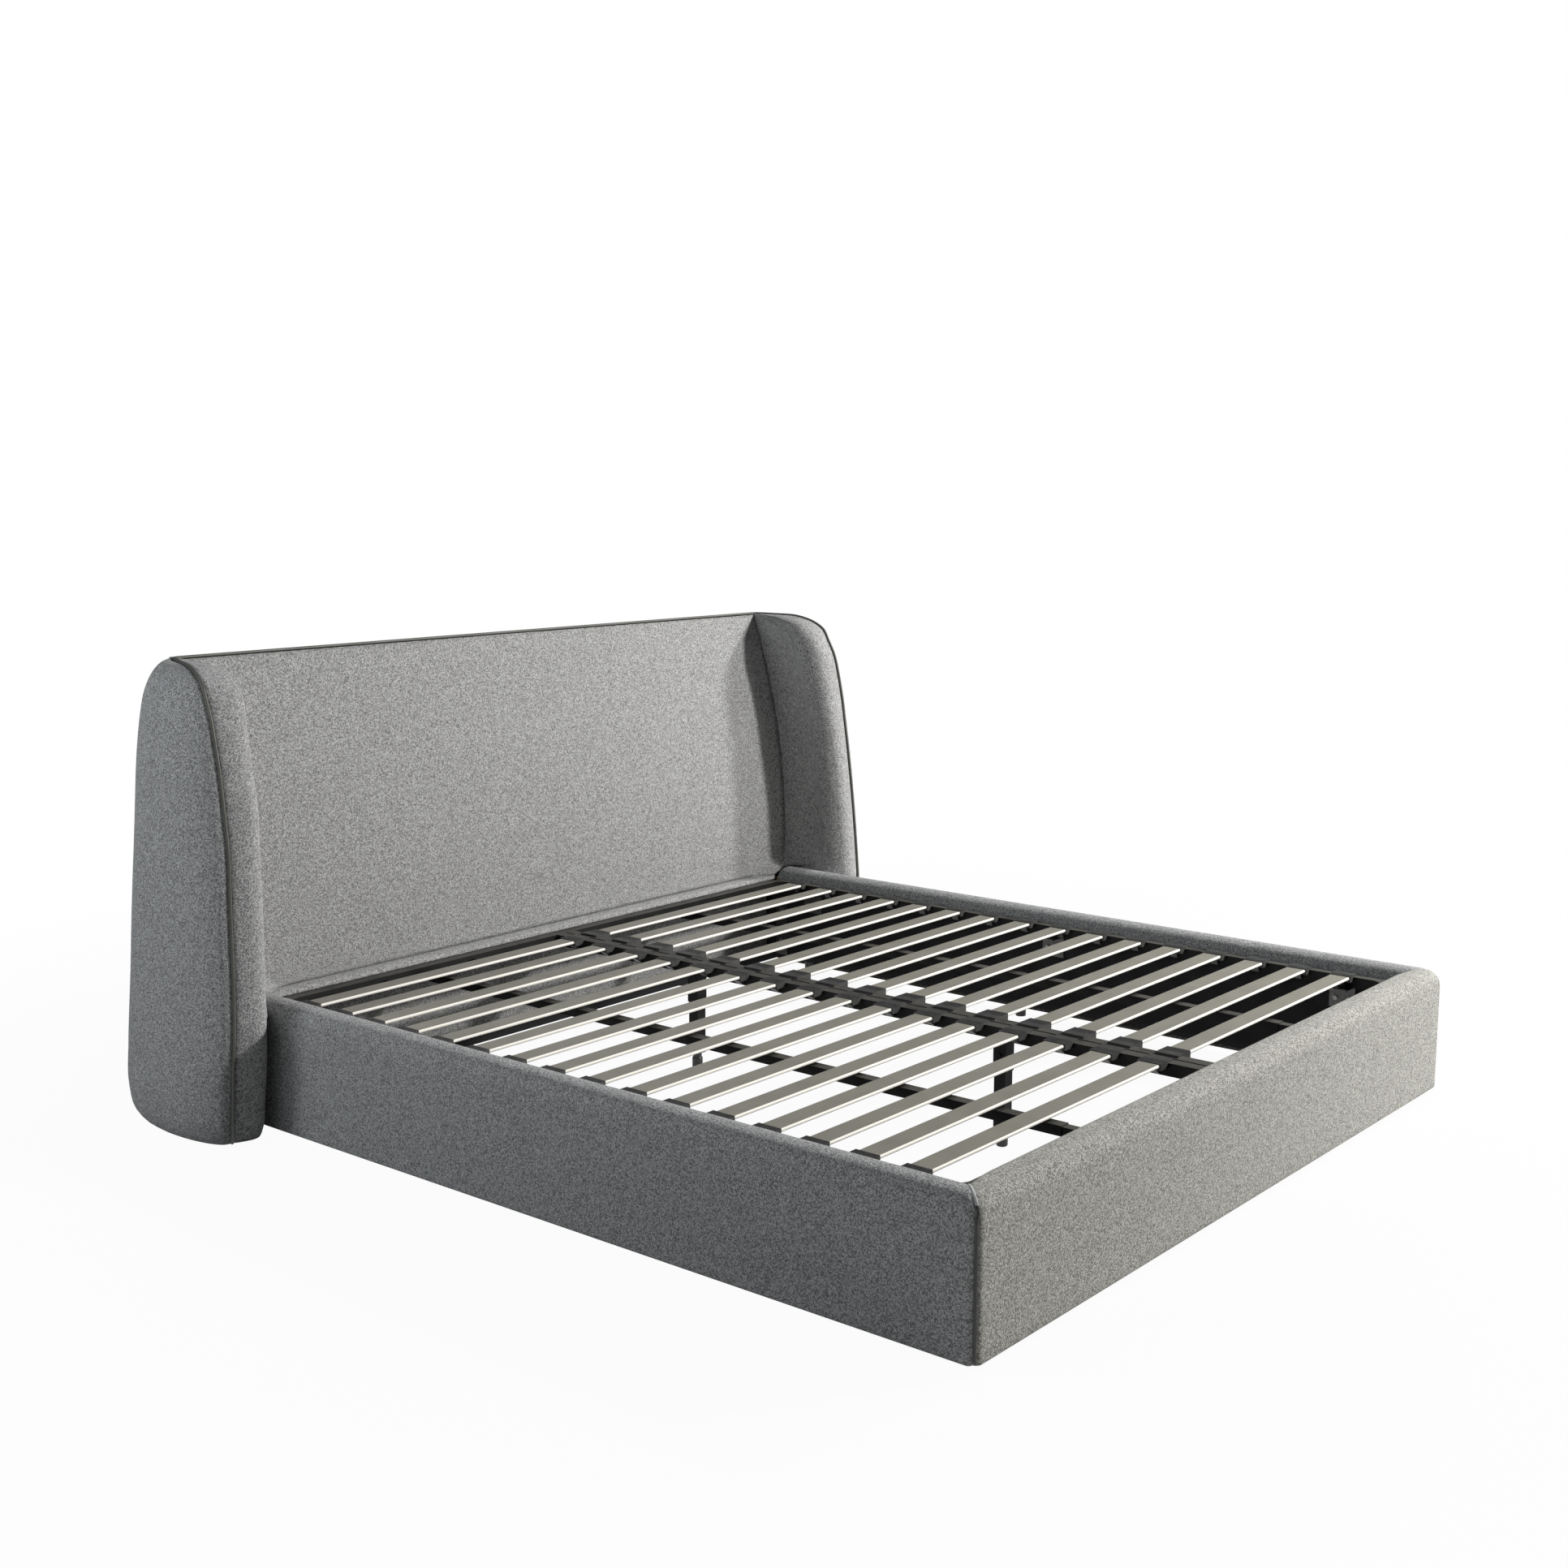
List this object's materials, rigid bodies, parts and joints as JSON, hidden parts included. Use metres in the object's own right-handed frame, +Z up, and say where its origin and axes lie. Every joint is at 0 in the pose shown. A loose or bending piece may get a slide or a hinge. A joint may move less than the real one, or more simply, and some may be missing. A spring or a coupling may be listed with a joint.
{
  "type": "upholstered bed",
  "caption": "Wide upholstered bed with a padded winged headboard, soft-edged rails, a steel frame with sprung slats and adjustable centre feet.",
  "frame": {"origin": "middle of the footprint on the floor", "axes": "+Z up, +Y towards the headboard, +X to the right seen from the foot"},
  "size_m": [2.5036, 2.46, 1.1376],
  "materials": {
    "upholstery": "coarse heathered weave, light grey",
    "shell_upholstery": "coarse heathered weave, light grey",
    "piping": "charcoal cord, matte",
    "lining": "thin black non-woven cloth",
    "plywood": "raw plywood",
    "timber": "raw pine",
    "slat_wood": "pale laminated wood, satin",
    "black_plastic": "matte",
    "bracket_steel": "light grey, satin",
    "bolts": "zinc plated",
    "frame_steel": "powder coated, satin"
  },
  "bodies": {
    "bed": {"front_pad": "upholstery", "wing_pad_left": "upholstery", "wing_pad_right": "upholstery", "wing_shell_left": "shell_upholstery", "wing_shell_right": "shell_upholstery", "back_panel": "shell_upholstery", "piping": "piping", "head_ledge": "upholstery", "lower_front_panel": "upholstery", "base_strip": "lining", "head_formers": "plywood", "head_battens": "timber", "wing_ribs_left": "plywood", "wing_ribs_right": "plywood", "wing_posts": "timber", "head_glides": "black_plastic", "side_rail_left": "timber", "side_rail_right": "timber", "side_cover_left": "upholstery", "side_cover_right": "upholstery", "side_lining_left": "lining", "side_lining_right": "lining", "foot_rail": "timber", "foot_cover": "upholstery", "foot_lining": "lining", "rail_glides": "black_plastic", "frame_head_tube": "frame_steel", "frame_foot_tube": "frame_steel", "frame_tube_left": "frame_steel", "frame_tube_right": "frame_steel", "centre_rail": "frame_steel", "mid_bar_left": "frame_steel", "mid_bar_right": "frame_steel", "bar_spigots": "frame_steel", "slats_left": "slat_wood", "slats_right": "slat_wood", "holders_outer_left": "black_plastic", "holders_outer_right": "black_plastic", "holders_inner_left": "black_plastic", "holders_inner_right": "black_plastic", "frame_brackets": "bracket_steel", "bracket_bolts": "bolts", "corner_plates": "bracket_steel", "corner_bolts": "bolts", "leg_sockets": "frame_steel", "leg_bolts": "bolts", "centre_leg_head": "frame_steel", "centre_leg_foot": "frame_steel", "leg_plugs": "black_plastic"},
    "head_side_foot": {"level_foot_head": "black_plastic"},
    "foot_side_foot": {"level_foot_foot": "black_plastic"}
  },
  "joints": [
    {"name": "head_side_level", "type": "slide", "parent": "bed", "child": "head_side_foot", "axis": [0, 0, -1], "range_m": [0, 0.015]},
    {"name": "foot_side_level", "type": "slide", "parent": "bed", "child": "foot_side_foot", "axis": [0, 0, -1], "range_m": [0, 0.015]}
  ]
}
